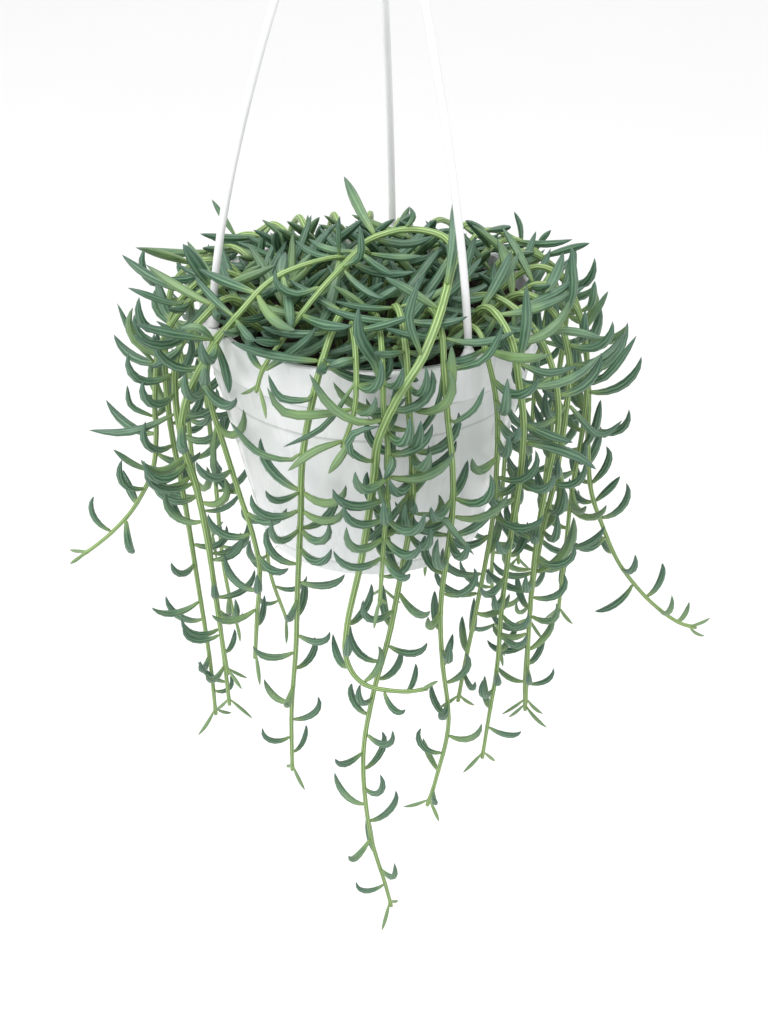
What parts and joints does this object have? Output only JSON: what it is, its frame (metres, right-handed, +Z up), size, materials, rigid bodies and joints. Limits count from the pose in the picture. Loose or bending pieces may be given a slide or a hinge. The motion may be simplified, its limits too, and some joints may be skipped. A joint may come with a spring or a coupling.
{
  "type": "potted string of fishhooks",
  "caption": "Hanging pot on a three-armed hook hanger, filled with soil and with trailing succulent stems whose slim leaves curl up like hooks.",
  "frame": {"origin": "where the hanger's hook bears on what carries it, at the top inside of its bend", "axes": "+Z up; +X to the right and -Y towards the viewer as the pot is usually seen"},
  "size_m": [0.3251, 0.2381, 0.6108],
  "materials": {
    "pot_plastic": "gloss",
    "hanger_plastic": "satin",
    "potting_soil": "matte",
    "dry_bark": "matte",
    "succulent_green": "satin"
  },
  "bodies": {
    "root": {"pot": "pot_plastic", "hanger": "hanger_plastic", "soil": "potting_soil", "bark_chip": "dry_bark", "crown_stem_01": "succulent_green", "crown_stem_02": "succulent_green", "crown_stem_03": "succulent_green", "crown_stem_04": "succulent_green", "crown_stem_05": "succulent_green", "crown_stem_06": "succulent_green", "crown_stem_07": "succulent_green", "crown_stem_08": "succulent_green", "crown_stem_09": "succulent_green", "crown_stem_10": "succulent_green", "crown_stem_11": "succulent_green", "crown_stem_12": "succulent_green", "crown_stem_13": "succulent_green", "crown_stem_14": "succulent_green", "crown_stem_15": "succulent_green", "crown_stem_16": "succulent_green", "crown_stem_17": "succulent_green", "crown_stem_18": "succulent_green", "crown_stem_19": "succulent_green", "crown_stem_20": "succulent_green", "crown_stem_21": "succulent_green", "crown_stem_22": "succulent_green", "crown_stem_23": "succulent_green", "trailing_stem_01": "succulent_green", "trailing_stem_02": "succulent_green", "trailing_stem_03": "succulent_green", "trailing_stem_04": "succulent_green", "trailing_stem_05": "succulent_green", "trailing_stem_06": "succulent_green", "trailing_stem_07": "succulent_green", "trailing_stem_08": "succulent_green", "trailing_stem_09": "succulent_green", "trailing_stem_10": "succulent_green", "trailing_stem_11": "succulent_green", "trailing_stem_12": "succulent_green", "trailing_stem_13": "succulent_green", "trailing_stem_14": "succulent_green", "trailing_stem_15": "succulent_green", "trailing_stem_16": "succulent_green", "trailing_stem_17": "succulent_green", "trailing_stem_18": "succulent_green", "trailing_stem_19": "succulent_green", "trailing_stem_20": "succulent_green", "trailing_stem_21": "succulent_green", "trailing_stem_22": "succulent_green", "trailing_stem_23": "succulent_green", "trailing_stem_24": "succulent_green", "trailing_stem_25": "succulent_green", "trailing_stem_26": "succulent_green", "trailing_stem_27": "succulent_green", "trailing_stem_28": "succulent_green", "trailing_stem_29": "succulent_green", "trailing_stem_30": "succulent_green", "trailing_stem_31": "succulent_green"}
  },
  "joints": []
}
